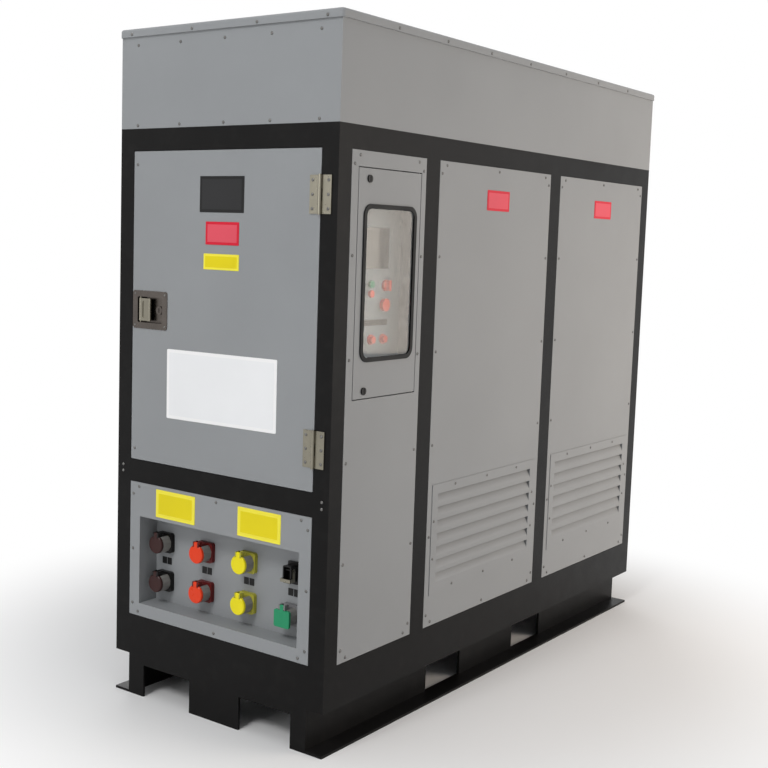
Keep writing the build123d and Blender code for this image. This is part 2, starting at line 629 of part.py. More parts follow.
def louvre_profile(t):
    """Section of one pressed louvre in X and Z: a curved hood that opens downward."""
    out, low = LOUVRE_OUT - t, -LOUVRE_H + 1
    curve = ThreePointArc((0, -2 * t), (out * 0.72, low * 0.42), (out, low * 0.85))
    drop = Polyline((out, low * 0.85), (out, low), (0, low), (0, -2 * t))
    return make_face(curve + drop)


def louvre_plate(bay):
    """A screwed-on plate with seven louvres pressed out of it."""
    y0, y1 = BAYS[bay][0] + LOUVRE_MARGIN, BAYS[bay][1] - LOUVRE_MARGIN
    plate = side_plate(y0, y1, LOUVRE_Z0, LOUVRE_Z1, SIDE + LOUVRE_T, LOUVRE_T)
    first, last = LOUVRE_Z1 - 30, LOUVRE_Z0 + 30 + LOUVRE_H
    length = y1 - y0 - 60
    for i in range(LOUVRE_N):
        top = first - i * (first - last) / (LOUVRE_N - 1)
        start = Plane(origin=(SIDE + LOUVRE_T, FRONT + y0 + 30, top), x_dir=(1, 0, 0),
                      z_dir=(0, -1, 0))
        plate += extrude(start * louvre_profile(0), amount=-length)
        inner = Plane(origin=(SIDE + LOUVRE_T, FRONT + y0 + 31.5, top), x_dir=(1, 0, 0),
                      z_dir=(0, -1, 0))
        plate -= extrude(inner * louvre_profile(1.5), amount=-(length - 3))
        plate -= block(SIDE - 1, SIDE + LOUVRE_T, FRONT + y0 + 31.5, FRONT + y1 - 31.5,
                       top - LOUVRE_H + 3, top - 5)
        plate -= block(SIDE + LOUVRE_T, SIDE + LOUVRE_OUT - 1, FRONT + y0 + 31.5,
                       FRONT + y1 - 31.5, top - LOUVRE_H - 1, top - LOUVRE_H + 3)
    return plate


# ---- inside ---------------------------------------------------------------------------
def bulkhead():
    x1 = SIDE - POST
    return block(-x1, x1, BULK_Y, BULK_Y + SHEET, PANEL_Z0, PANEL_Z1)


def switchgear():
    """Contactors and copper bars on the bulkhead."""
    pieces = []
    profile = Polygon((0, 0), (110, 0), (110, 40), (80, 40), (80, 70), (20, 70), (20, 40), (0, 40),
                      align=None)
    for i in range(5):
        plane = Plane(origin=(-330 + i * 90, BULK_Y, 1100), x_dir=(0, 0, 1), z_dir=(1, 0, 0))
        pieces.append(extrude(plane * profile, amount=72))
    for x0 in (-300, -180, -60):
        pieces.append(block(x0, x0 + 30, BULK_Y - 10, BULK_Y, 1260, 1640))
    return pieces


def fan_centres():
    return [(0, FRONT + (BAYS[i][0] + BAYS[i][1]) / 2) for i in (1, 2)]


def fan_deck():
    """Deck plate with a bell ring and three motor arms under each fan."""
    x1 = SIDE - POST
    y0, y1 = BULK_Y + SHEET, REAR - POST
    deck = block(-x1, x1, y0, y1, FAN_Z, FAN_Z + SHEET)
    for x, y in fan_centres():
        deck -= rod("z", FAN_R + TIP_GAP, (x, y, FAN_Z - 20), 60, BELL_N)
        ring = rod("z", FAN_R + TIP_GAP + SHEET, (x, y, FAN_Z - 60), 60, BELL_N)
        deck += ring - rod("z", FAN_R + TIP_GAP, (x, y, FAN_Z - 61), 70, BELL_N)
        for i in range(3):
            arm = block(MOTOR_R - 2, FAN_R + TIP_GAP + 1, -12, 12, -60, -52)
            deck += Pos(x, y, FAN_Z) * Rot(0, 0, 30 + 120 * i) * arm
        deck -= rod("z", MOTOR_R, (x, y, FAN_Z - 100), 90, FINE_N)
    return deck


def fan_motors():
    motors = []
    for x, y in fan_centres():
        motor = rod("z", MOTOR_R, (x, y, FAN_Z - 230), 190, FINE_N)
        motor = chamfer(motor.faces().sort_by(Axis.Z)[0].edges(), 8)
        motors.append(motor - rod("z", SHAFT_R + PIN_FIT, (x, y, FAN_Z - 80), 60))
    return motors


def fan_rotor(x, y):
    """Hub with twisted, cambered blades lofted from root to tip."""
    low = FAN_Z - 36
    rotor = rod("z", HUB_R, (0, 0, low), 60, FINE_N) + rod("z", SHAFT_R, (0, 0, FAN_Z - 75), 45)
    stations = ((HUB_R - 6, 42, 92), (FAN_R * 0.6, 30, 104), (FAN_R, 20, 96))
    sections = []
    for r, pitch, chord in stations:
        plane = Plane(origin=(r, 0, low + 30), x_dir=(0, 1, 0), z_dir=(1, 0, 0))
        aerofoil = Polygon((-chord / 2, 0), (0, -9), (chord / 2, -2), (chord / 2, 1), (0, -5),
                           (-chord / 2, 3), align=None)
        sections.append(plane * Rot(0, 0, pitch) * aerofoil)
    blade = loft(sections, ruled=True)
    for i in range(FAN_BLADES):
        rotor += Rot(0, 0, 360 / FAN_BLADES * i) * blade
    return Pos(x, y, 0) * rotor


def element_racks():
    """Three trays of side channels that carry the resistor rods."""
    racks = []
    y0, y1 = BULK_Y + SHEET, REAR - POST
    for z in RACK_ZS:
        for x0, x1, flange in ((SIDE - POST - 3, SIDE - POST, -22), (-SIDE + POST, -SIDE + POST + 3, 22)):
            web = block(x0, x1, y0, y1, z - 60, z + 60)
            inner = x0 if flange < 0 else x1
            for zz in (z - 60, z + 57):
                xs = sorted((inner, inner + flange))
                web += block(xs[0], xs[1], y0, y1, zz, zz + 3)
            racks.append(web)
    return racks


def element_rods():
    rods = []
    y0, y1 = BULK_Y + 90, REAR - POST - 90
    half = SIDE - POST - 3
    for z in RACK_ZS:
        for i in range(RODS_PER_RACK):
            y = y0 + i * (y1 - y0) / (RODS_PER_RACK - 1)
            rods.append(rod("x", ROD_R, (-half, y, z + (18 if i % 2 else -18)), 2 * half, COARSE_N // 2))
    return rods


# ---- fasteners ------------------------------------------------------------------------
def edge_points(a0, a1, z0, z1, across, up):
    """Screw places round a panel: a staggered pair at each corner, the rest evenly between."""
    points = []
    for a, da in ((a0 + SCREW_IN, 1), (a1 - SCREW_IN, -1)):
        for z, dz in ((z0 + SCREW_IN, 1), (z1 - SCREW_IN, -1)):
            points += [(a + da * (SCREW_PAIR - SCREW_IN), z), (a, z + dz * (SCREW_PAIR - SCREW_IN))]
        for i in range(up):
            points.append((a, z0 + (z1 - z0) * (i + 1) / (up + 1)))
    for i in range(across):
        a = a0 + (a1 - a0) * (i + 1) / (across + 1)
        points += [(a, z0 + SCREW_IN), (a, z1 - SCREW_IN)]
    return points


def side_screw(y, z, x=SIDE):
    plane = Plane(origin=(x, FRONT + y, z), x_dir=(0, 1, 0), z_dir=(1, 0, 0))
    return extrude(plane * RegularPolygon(SCREW_R, 6), amount=SCREW_H)


def end_screw(x, z, y=None, out=-1):
    plane = Plane(origin=(x, FRONT if y is None else y, z), x_dir=(1, 0, 0), z_dir=(0, out, 0))
    return extrude(plane * RegularPolygon(SCREW_R, 6), amount=SCREW_H)


def panel_screws():
    screws = []
    for bay, (y0, y1) in enumerate(BAYS):
        across = 0 if bay == 0 else 1
        ring = [side_screw(y, z) for y, z in edge_points(y0, y1, PANEL_Z0, PANEL_Z1, across, 4)]
        screws += ring + mirrored(ring)
    x1 = SIDE - POST
    screws += [end_screw(x, z) for x, z in edge_points(-x1, x1, PANEL_Z0, MID_RAIL_Z, 1, 1)]
    screws += [end_screw(x, z, REAR, 1) for x, z in edge_points(-x1, x1, PANEL_Z0, PANEL_Z1, 1, 4)]
    for x in (-SIDE + POST / 2 - 4, SIDE - POST / 2 + 4):
        screws += [end_screw(x, MID_RAIL_Z + 28), end_screw(x, MID_RAIL_Z + 48)]
    return screws


def hood_screws():
    screws = []
    for i in range(5):
        x = (i - 2) * (WIDTH - 144) / 4
        screws += [end_screw(x, HOOD_TOP - 26), end_screw(x, FRAME_TOP + 5 + SCREW_R)]
    for i in range(4):
        x = (i - 1.5) * (WIDTH - 96) / 3
        screws.append(end_screw(x, HOOD_TOP + 8, FRONT - CAP_PROUD))
    return screws


def cap_screws():
    ring = [side_screw((i + 1) * LENGTH / 8, HOOD_TOP + 9, SIDE + CAP_PROUD) for i in range(7)]
    return ring + mirrored(ring)


# ---- write every node -----------------------------------------------------------------
def build():
    os.makedirs("parts", exist_ok=True)
    x1 = SIDE - POST
    rail = skid_rail()
    right_louvres = [louvre_plate(1), louvre_plate(2)]
    fans = fan_centres()
    nodes = {
        "skid_rails": [rail] + mirrored([rail]),
        "skid_cross_plates": skid_cross_plates(),
        "base_rails": base_rails(),
        "floor_pan": block(-x1, x1, FRONT + POST, REAR - POST, PANEL_Z0 - SHEET, PANEL_Z0),
        "corner_posts": corner_posts(),
        "side_posts": side_posts(),
        "top_rails": ring_rails(PANEL_Z1, FRAME_TOP),
        "cross_rail": tube(-x1, x1, FRONT, FRONT + POST, MID_RAIL_Z, MID_RAIL_Z + MID_RAIL_H, "x"),
        "panel_lips": panel_lips(),
        "hood_panels": hood_panels(),
        "hood_cap": hood_cap(),
        "discharge_grille": discharge_grille(),
        "front_door": front_door(),
        "door_gasket": door_gasket(),
        "hinge_post_leaves": [hinge_leaf(z, False) for z in HINGE_ZS],
        "hinge_door_leaves": [hinge_leaf(z, True) for z in HINGE_ZS],
        "hinge_pins": hinge_pins(),
        "latch_pan": latch_pan(),
        "latch_paddle": latch_paddle(),
        "latch_bolt": latch_bolt(),
        "socket_panel": socket_panel(),
        "sockets_black": [socket(0, z) for z in SOCKET_ROWS],
        "sockets_red": [socket(1, z) for z in SOCKET_ROWS],
        "sockets_yellow": [socket(2, z) for z in SOCKET_ROWS],
        "socket_green": socket(3, SOCKET_ROWS[1]),
        "lid_green": socket_lid(3, SOCKET_ROWS[1], True),
        "link_connector": link_connector(),
        "link_clip": link_clip(),
        "control_panel": control_panel(),
        "control_door": control_door(),
        "window_gasket": window_gasket(),
        "window_pane": window_pane(),
        "quarter_turn_upper": quarter_turn(LOCK_ZS[0]),
        "quarter_turn_lower": quarter_turn(LOCK_ZS[1]),
        "control_box": control_box(),
        "control_fascia": control_fascia(),
        "display_unit": display_unit(),
        "start_button": button(START_AT, BUTTON_R, 7),
        "stop_button": button(STOP_AT, BUTTON_R, 7),
        "emergency_stop": button(ESTOP_AT, 19, 12),
        "selector_knob": selector_knob(),
        "indicator_lamps": indicator_lamps(),
        "body_panels": body_panels(),
        "louvre_plates": right_louvres + mirrored(right_louvres),
        "bulkhead": bulkhead(),
        "switchgear": switchgear(),
        "fan_deck": fan_deck(),
        "fan_motors": fan_motors(),
        "fan_rotor_front": fan_rotor(*fans[0]),
        "fan_rotor_rear": fan_rotor(*fans[1]),
        "element_racks": element_racks(),
        "element_rods": element_rods(),
        "panel_screws": panel_screws(),
        "hood_screws": hood_screws() + cap_screws(),
    }
    for column, colour in enumerate(("black", "red", "yellow")):
        for row, z in enumerate(SOCKET_ROWS):
            nodes[f"lid_{colour}_{row + 1}"] = socket_lid(column, z)
    for name, solids in nodes.items():
        save(name, solids)


build()
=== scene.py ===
import bpy
import bmesh
import math
from mathutils import Matrix, Vector


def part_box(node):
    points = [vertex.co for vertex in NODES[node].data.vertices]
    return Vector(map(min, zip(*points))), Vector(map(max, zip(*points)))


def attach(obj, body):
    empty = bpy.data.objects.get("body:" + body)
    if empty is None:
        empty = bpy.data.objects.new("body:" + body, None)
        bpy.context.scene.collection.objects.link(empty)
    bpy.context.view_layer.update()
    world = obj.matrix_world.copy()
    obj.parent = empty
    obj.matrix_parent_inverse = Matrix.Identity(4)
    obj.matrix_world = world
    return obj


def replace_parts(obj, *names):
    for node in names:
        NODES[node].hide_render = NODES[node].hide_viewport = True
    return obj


# The looks of the load bank: finishes on the CAD nodes, and the bare plates, screw heads, socket
# sleeves, pressed louvres and small trim that ride on them. Lengths are in metres.
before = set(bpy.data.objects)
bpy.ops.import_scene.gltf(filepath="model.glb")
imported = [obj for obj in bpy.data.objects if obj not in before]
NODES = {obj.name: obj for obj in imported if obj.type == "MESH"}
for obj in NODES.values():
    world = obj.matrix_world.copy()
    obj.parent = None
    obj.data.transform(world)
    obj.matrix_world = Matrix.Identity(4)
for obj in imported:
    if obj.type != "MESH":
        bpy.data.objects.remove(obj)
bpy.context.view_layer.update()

POSTS_LOW, POSTS_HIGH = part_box("corner_posts")
SIDE_X = POSTS_HIGH.x
FRONT_Y = POSTS_LOW.y
REAR_Y = POSTS_HIGH.y
OUT_FRONT = Vector((0, -1, 0))

# Bare plates, with a slightly raised field in the middle of each.
PLATE_T, PLATE_EDGE = 0.0012, 0.0004
FIELD_T, FIELD_EDGE = 0.0003, 0.0001
CORNER_STEPS = 5
# Each: name, body, middle from the cabinet's left edge, middle's height, width, height, colour,
# margin round the field, corner radius, tilt in degrees.
FRONT_PLATES = (
    ("door_plate_black", "front_door", 0.430, 1.602, 0.176, 0.106, "black", 0.009, 0.002, 0),
    ("door_plate_red", "front_door", 0.4345, 1.488, 0.133, 0.068, "red", 0.008, 0.002, 0),
    ("door_plate_yellow", "front_door", 0.432, 1.404, 0.141, 0.047, "yellow", 0.007, 0.002, 0),
    ("door_panel_white", "front_door", 0.437, 1.025, 0.444, 0.214, "white", 0.010, 0.004, 0.4),
    ("socket_plate_1", "root", 0.259, 0.642, 0.168, 0.088, "yellow", 0.012, 0.003, 0),
    ("socket_plate_2", "root", 0.603, 0.642, 0.168, 0.088, "yellow", 0.012, 0.003, 0),
)
# Each: name, middle from the front face, middle's height.
SIDE_PLATES = (("side_plate_1", 0.860, 1.624), ("side_plate_2", 1.643, 1.624))
SIDE_PLATE_SIZE, SIDE_PLATE_MARGIN, SIDE_PLATE_R = (0.142, 0.066), 0.008, 0.003
STRIP_Y, STRIP_Z, STRIP_SIZE = 0.285, 1.240, (0.12, 0.018)

# Tags in pairs at half height between the two rows of sockets.
SOCKET_MID_Z = 0.4385
TAG_SIZE, TAG_R, TAG_FROM_MIDDLE = (0.019, 0.022), 0.001, 0.011

# The sleeve round a socket's collar: its arc in degrees is open under the lid's ears.
COLLAR_R, COLLAR_L, FLANGE_T = 0.027, 0.032, 0.014
SLEEVE_INNER, SLEEVE_OUTER = COLLAR_R + 0.0003, COLLAR_R + 0.0022
SLEEVE_FROM, SLEEVE_TO, SLEEVE_STEPS = 120.0, 420.0, 40
SLEEVE_BACK, LIP_END, RIB_START, RIB_OUT = 0.001, 0.004, 0.005, 0.0007

# Screw heads: (radius, height) of each kind, and the section of a head as shares of both.
LATCH_HEAD, LATCH_HEAD_IN = (0.0035, 0.0014), 0.010
HINGE_HEAD, HINGE_HEAD_IN, HINGE_HEAD_END = (0.0048, 0.002), 0.010, 0.014
LEAF_T = 0.003
EDGE_HEAD, EDGE_HEAD_IN, EDGE_HEAD_TOP, EDGE_HEAD_FOOT = (0.005, 0.0022), 0.015, 0.040, 0.035
LOUVRE_HEAD, LOUVRE_HEAD_IN = (0.0045, 0.0022), 0.012
LOUVRE_HEAD_FOOT, LOUVRE_HEAD_TOP = 0.015, 0.013
HEAD_SHARE = 0.98
HEAD_SIDES = 12
HEAD_SECTION = ((1.0, 0.0), (1.0, 0.25), (0.86, 0.7), (0.6, 0.95), (0.3, 1.0), (0.26, 0.55))

# Louvres, pressed inward from plates that stand on the panels.
LOUVRE_N = 7
LOUVRE_T, LOUVRE_SHEET = 0.002, 0.0014
LOUVRE_FIRST, LOUVRE_PITCH = 0.0315, 0.043
LOUVRE_H, LOUVRE_DEEP, LOUVRE_END = 0.031, 0.014, 0.032
LOUVRE_STEPS, LOUVRE_BEND = 7, 1.4
LOUVRE_FACE = SIDE_X + LOUVRE_T


# ---- node helpers ---------------------------------------------------------------------
def new_material(name):
    mat = bpy.data.materials.new(name)
    mat.use_nodes = True
    shader = mat.node_tree.nodes["Principled BSDF"]
    return mat, mat.node_tree, shader


def put(node, values):
    """Sets a node's inputs by name."""
    for key, value in values.items():
        node.inputs[key].default_value = value


def add(tree, kind, **values):
    """A new node; each value goes to the input of that name, or else to the node's setting."""
    node = tree.nodes.new(kind)
    for key, value in values.items():
        if key in node.inputs.keys():
            node.inputs[key].default_value = value
        else:
            setattr(node, key, value)
    return node


def noise(tree, scale, detail=4.0, stretch=None):
    """Noise in the part's own coordinates, stretched where a finish has a grain."""
    place = tree.nodes.new("ShaderNodeTexCoord").outputs["Object"]
    if stretch:
        mapping = add(tree, "ShaderNodeMapping", Scale=stretch)
        tree.links.new(place, mapping.inputs["Vector"])
        place = mapping.outputs["Vector"]
    tex = add(tree, "ShaderNodeTexNoise", Scale=scale, Detail=detail)
    tree.links.new(place, tex.inputs["Vector"])
    return tex.outputs["Fac"]


def ramp(tree, fac, stops):
    """Colours along a value, as (place, colour) stops."""
    node = tree.nodes.new("ShaderNodeValToRGB")
    elements = node.color_ramp.elements
    while len(elements) < len(stops):
        elements.new(0.5)
    for element, (place, colour) in zip(elements, stops):
        element.position = place
        element.color = (*colour, 1.0)
    tree.links.new(fac, node.inputs["Fac"])
    return node.outputs["Color"]


def mix_surface(tree, share, near, far, output):
    """Mixes two shaders and gives the result to an output node."""
    mix = tree.nodes.new("ShaderNodeMixShader")
    tree.links.new(share, mix.inputs["Fac"])
    tree.links.new(near.outputs[0], mix.inputs[1])
    tree.links.new(far.outputs[0], mix.inputs[2])
    tree.links.new(mix.outputs[0], tree.nodes[output].inputs["Surface"])


# ---- finishes -------------------------------------------------------------------------
DUST = (0.25, 0.24, 0.22, 1.0)


def shade(colour, k):
    return tuple(min(1.0, c * k) for c in colour)


def dusted(tree, base, amount):
    """A colour with pale specks of dust over it."""
    speck = ramp(tree, noise(tree, 26.0, 8.0), [(0.52, (0, 0, 0)), (0.75, (1, 1, 1))])
    scaled = add(tree, "ShaderNodeMath", operation="MULTIPLY")
    scaled.inputs[1].default_value = amount
    mix = add(tree, "ShaderNodeMix", data_type="RGBA")
    tree.links.new(speck, scaled.inputs[0])
    tree.links.new(scaled.outputs[0], mix.inputs["Factor"])
    tree.links.new(base, mix.inputs["A"])
    mix.inputs["B"].default_value = DUST
    return mix.outputs["Result"]


def finish(name, colour, rough, metal=0.0, bump=0.08, grain=900.0, spread=0.07, coat=0.0,
           stretch=None, dust=0.0, patch=3.0, sheen=0.2):
    """A varied colour, a varied gloss and a fine bump: the base of every opaque finish."""
    mat, tree, shader = new_material(name)
    base = ramp(tree, noise(tree, patch, 5.0),
                [(0.3, shade(colour, 1 - spread)), (0.7, shade(colour, 1 + spread))])
    if dust:
        base = dusted(tree, base, dust)
    tree.links.new(base, shader.inputs["Base Color"])
    gloss = ramp(tree, noise(tree, patch * 4, 6.0),
                 [(0.3, (rough * 0.88,) * 3), (0.7, (min(1, rough * 1.14),) * 3)])
    tree.links.new(gloss, shader.inputs["Roughness"])
    relief = add(tree, "ShaderNodeBump", Strength=bump, Distance=0.0006)
    tree.links.new(noise(tree, grain, 2.0, stretch), relief.inputs["Height"])
    tree.links.new(relief.outputs["Normal"], shader.inputs["Normal"])
    put(shader, {"Metallic": metal, "Coat Weight": coat, "Specular IOR Level": sheen})
    return mat


def glass():
    """A clear pane with faint smears."""
    mat, tree, shader = new_material("clear_pane")
    put(shader, {"Base Color": (0.9, 0.93, 0.93, 1), "Transmission Weight": 1.0, "IOR": 1.45})
    smear = ramp(tree, noise(tree, 9.0, 6.0), [(0.4, (0.01,) * 3), (0.8, (0.07,) * 3)])
    tree.links.new(smear, shader.inputs["Roughness"])
    return mat


GREY = (0.272, 0.283, 0.292)
MATS = {
    "frame": finish("frame_powder_coat", (0.0065, 0.0062, 0.0062), 0.36, bump=0.22, grain=1500,
                    spread=0.2, dust=0.012, sheen=0.09),
    "panel": finish("panel_powder_coat", GREY, 0.42, bump=0.16, grain=1300, spread=0.035,
                    sheen=0.25),
    "galvanised": finish("galvanised_sheet", (0.42, 0.43, 0.44), 0.4, metal=0.85, bump=0.05,
                         grain=60, spread=0.2, patch=40),
    "stainless": finish("brushed_stainless", (0.23, 0.215, 0.172), 0.3, metal=1.0, bump=0.12,
                        grain=300, spread=0.1, stretch=(1, 1, 14), patch=16),
    "latch": finish("dark_stainless", (0.105, 0.092, 0.083), 0.27, metal=1.0, bump=0.12,
                    grain=300, spread=0.12, stretch=(1, 1, 14), patch=16),
    "rubber": finish("black_rubber", (0.007, 0.007, 0.007), 0.55, bump=0.25, grain=1200,
                     spread=0.2),
    "black": finish("black_moulding", (0.008, 0.0075, 0.0075), 0.34, bump=0.12, grain=1800,
                    spread=0.15),
    "brown": finish("dark_lid_moulding", (0.034, 0.010, 0.009), 0.36, bump=0.1, grain=1800,
                    spread=0.12),
    "red": finish("red_moulding", (0.78, 0.050, 0.010), 0.3, bump=0.08, grain=1800, spread=0.06),
    "dark_red": finish("dark_red_moulding", (0.13, 0.012, 0.012), 0.38, bump=0.1, grain=1800,
                       spread=0.1),
    "yellow": finish("yellow_moulding", (0.84, 0.73, 0.010), 0.3, bump=0.08, grain=1800,
                     spread=0.05),
    "dark_yellow": finish("yellow_flange_moulding", (0.42, 0.40, 0.05), 0.38, bump=0.1,
                          grain=1800, spread=0.1),
    "green": finish("green_moulding", (0.02, 0.26, 0.12), 0.32, bump=0.08, grain=1800,
                    spread=0.07),
    "grey_plastic": finish("grey_moulding", (0.2, 0.2, 0.205), 0.42, bump=0.1, grain=1800,
                           spread=0.06),
    "screw": finish("zinc_screw", (0.15, 0.147, 0.142), 0.34, metal=1.0, bump=0.1, grain=700,
                    spread=0.15),
    "element": finish("element_steel", (0.33, 0.3, 0.26), 0.42, metal=1.0, bump=0.15, grain=200,
                      spread=0.2),
    "motor": finish("motor_paint", (0.1, 0.12, 0.14), 0.5, bump=0.2, grain=500, spread=0.1),
    "alloy": finish("fan_alloy", (0.5, 0.5, 0.5), 0.38, metal=1.0, bump=0.15, grain=300),
    "glass": glass(),
    "display": finish("display_face", (0.010, 0.013, 0.018), 0.16, bump=0.02, coat=0.2),
    "plate_black": finish("plate_black", (0.008, 0.008, 0.008), 0.42, bump=0.05, spread=0.1),
    "plate_red": finish("plate_red", (0.64, 0.012, 0.035), 0.36, bump=0.05, spread=0.04),
    "plate_yellow": finish("plate_yellow", (0.90, 0.80, 0.06), 0.36, bump=0.05, spread=0.03),
    "plate_white": finish("plate_white", (0.90, 0.90, 0.90), 0.35, bump=0.04, spread=0.015),
    "field_yellow": finish("field_yellow", (0.78, 0.65, 0.008), 0.4, bump=0.05, spread=0.05),
    "field_red": finish("field_red", (0.72, 0.085, 0.12), 0.4, bump=0.05, spread=0.05),
    "field_black": finish("field_black", (0.020, 0.020, 0.021), 0.4, bump=0.05, spread=0.1),
    "field_white": finish("field_white", (0.84, 0.85, 0.86), 0.38, bump=0.04, spread=0.02),
    "collar": finish("collar_moulding", (0.23, 0.225, 0.21), 0.4, bump=0.12, grain=1500,
                     spread=0.12),
}

LOOKS = {
    "frame": ["skid_rails", "skid_cross_plates", "base_rails", "corner_posts", "side_posts",
              "top_rails", "cross_rail", "panel_lips"],
    "panel": ["hood_panels", "hood_cap", "front_door", "socket_panel", "control_panel",
              "control_door", "body_panels", "louvre_plates", "control_fascia"],
    "galvanised": ["floor_pan", "discharge_grille", "control_box", "bulkhead", "fan_deck",
                   "element_racks"],
    "stainless": ["hinge_post_leaves", "hinge_door_leaves", "hinge_pins", "latch_paddle",
                  "latch_bolt", "link_clip"],
    "latch": ["latch_pan"],
    "rubber": ["door_gasket", "window_gasket"],
    "black": ["quarter_turn_upper", "quarter_turn_lower", "sockets_black", "link_connector"],
    "brown": ["lid_black_1", "lid_black_2"],
    "red": ["lid_red_1", "lid_red_2", "stop_button", "emergency_stop", "selector_knob",
            "indicator_lamps"],
    "dark_red": ["sockets_red"],
    "yellow": ["lid_yellow_1", "lid_yellow_2"],
    "dark_yellow": ["sockets_yellow"],
    "green": ["lid_green", "start_button"],
    "grey_plastic": ["socket_green", "switchgear"],
    "screw": ["panel_screws", "hood_screws"],
    "element": ["element_rods"],
    "motor": ["fan_motors"],
    "alloy": ["fan_rotor_front", "fan_rotor_rear"],
    "glass": ["window_pane"],
    "display": ["display_unit"],
}


def dress_nodes():
    """Gives each CAD node its finish."""
    for look, names in LOOKS.items():
        for name in names:
            obj = NODES[name]
            if not obj.material_slots:
                obj.data.materials.append(MATS[look])
            for place in obj.material_slots:
                place.material = MATS[look]


# ---- mesh helpers ---------------------------------------------------------------------
def piece(name, bm, look, body, smooth=False):
    """A new object from a mesh in work, riding on a body of the frame."""
    bmesh.ops.recalc_face_normals(bm, faces=bm.faces)
    mesh = bpy.data.meshes.new(name)
    bm.to_mesh(mesh)
    bm.free()
    mesh.materials.append(MATS[look])
    if smooth:
        mesh.shade_smooth()
    obj = bpy.data.objects.new(name, mesh)
    bpy.context.scene.collection.objects.link(obj)
    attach(obj, body)
    return obj


def skin(bm, rings):
    """Walls between rings of vertices, and a cap on the first and the last."""
    for low, high in zip(rings, rings[1:]):
        n = len(low)
        for i in range(n):
            j = (i + 1) % n
            bm.faces.new((low[i], low[j], high[j], high[i]))
    bm.faces.new(rings[-1])
    bm.faces.new(list(reversed(rings[0])))


def islands(obj):
    """The separate solids of a node, each as its lowest and highest corner."""
    mesh = obj.data
    parent = list(range(len(mesh.vertices)))

    def root(i):
        while parent[i] != i:
            parent[i] = parent[parent[i]]
            i = parent[i]
        return i
    places = {}
    for v in mesh.vertices:
        key = tuple(round(c, 5) for c in v.co)
        if key in places:
            parent[root(v.index)] = root(places[key])
        else:
            places[key] = v.index
    for e in mesh.edges:
        a, b = root(e.vertices[0]), root(e.vertices[1])
        if a != b:
            parent[a] = b
    groups = {}
    for v in mesh.vertices:
        groups.setdefault(root(v.index), []).append(v.co)
    return [(Vector([min(p[k] for p in points) for k in range(3)]),
             Vector([max(p[k] for p in points) for k in range(3)]))
            for points in groups.values()]


# ---- plates ---------------------------------------------------------------------------
def outline(width, height, r):
    """A rounded rectangle about its middle, as a list of points."""
    points = []
    for cx, cy, start in ((1, 1, 0), (-1, 1, 90), (-1, -1, 180), (1, -1, 270)):
        for i in range(CORNER_STEPS + 1):
            a = math.radians(start + 90 * i / CORNER_STEPS)
            points.append((cx * (width / 2 - r) + r * math.cos(a),
                           cy * (height / 2 - r) + r * math.sin(a)))
    return points


def plate_mesh(place, width, height, r, thick, edge):
    """A thin plate with a rolled edge; place maps (u, v, out) to a point of the part."""
    bm = bmesh.new()
    rings = []
    for inset, out in ((0, 0), (0, thick - edge), (edge, thick)):
        points = outline(width - 2 * inset, height - 2 * inset, max(r - inset, 0.0002))
        rings.append([bm.verts.new(place(u, v, out)) for u, v in points])
    skin(bm, rings)
    return bm


def on_front(x, z, face=FRONT_Y, tilt=0.0):
    """Places (u, v, out) on the front end; x is counted from the cabinet's left edge."""
    c, s = math.cos(tilt), math.sin(tilt)

    def place(u, v, out):
        return Vector((-SIDE_X + x + u * c - v * s, face - out, z + u * s + v * c))
    return place


def on_side(y, z, face=SIDE_X):
    """Places (u, v, out) on the control side; y is counted from the front face."""
    def place(u, v, out):
        return Vector((face + out, FRONT_Y + y + u, z + v))
    return place


def plate(name, place, size, colour, body, margin=None, r=0.002):
    """A bare plate; with a margin, its middle field is a second, slightly raised plate."""
    width, height = size
    mesh = plate_mesh(place, width, height, r, PLATE_T, PLATE_EDGE)
    piece(name, mesh, "plate_" + colour, body)
    if margin:
        def raised(u, v, out):
            return place(u, v, out + PLATE_T)
        mesh = plate_mesh(raised, width - 2 * margin, height - 2 * margin, r / 2, FIELD_T,
                          FIELD_EDGE)
        piece(name + "_field", mesh, "field_" + colour, body)


def bare_plates():
    """Plain coloured plates on the door, over the sockets and high on the side panels."""
    for name, body, x, z, width, height, colour, margin, r, tilt in FRONT_PLATES:
        place = on_front(x, z, tilt=math.radians(tilt))
        plate(name, place, (width, height), colour, body, margin, r)
    for name, y, z in SIDE_PLATES:
        plate(name, on_side(y, z), SIDE_PLATE_SIZE, "red", "root", SIDE_PLATE_MARGIN,
              SIDE_PLATE_R)


def fascia_strip():
    """A bare strip on the control fascia, between the lamps and the buttons."""
    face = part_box("control_fascia")[1].x
    plate("fascia_strip", on_side(STRIP_Y, STRIP_Z, face), STRIP_SIZE, "black", "root")


# ---- sockets --------------------------------------------------------------------------
def socket_solids():
    """Each socket's lowest and highest corner, with the flange as its widest part."""
    found = []
    for node in ("sockets_black", "sockets_red", "sockets_yellow", "socket_green"):
        found += islands(NODES[node])
    return found


def socket_tags():
    """Pairs of small black tags between the two rows of sockets, on the recess's back."""
    columns = {}
    for low, high in socket_solids():
        columns.setdefault(round((low.x + high.x) / 2, 3), []).append(high.y)
    for i, (middle, backs) in enumerate(sorted(columns.items())):
        for side, name in ((-1, "left"), (1, "right")):
            x = middle + SIDE_X + side * TAG_FROM_MIDDLE
            plate(f"socket_tag_{i + 1}_{name}", on_front(x, SOCKET_MID_Z, max(backs)), TAG_SIZE,
                  "black", "root", r=TAG_R)


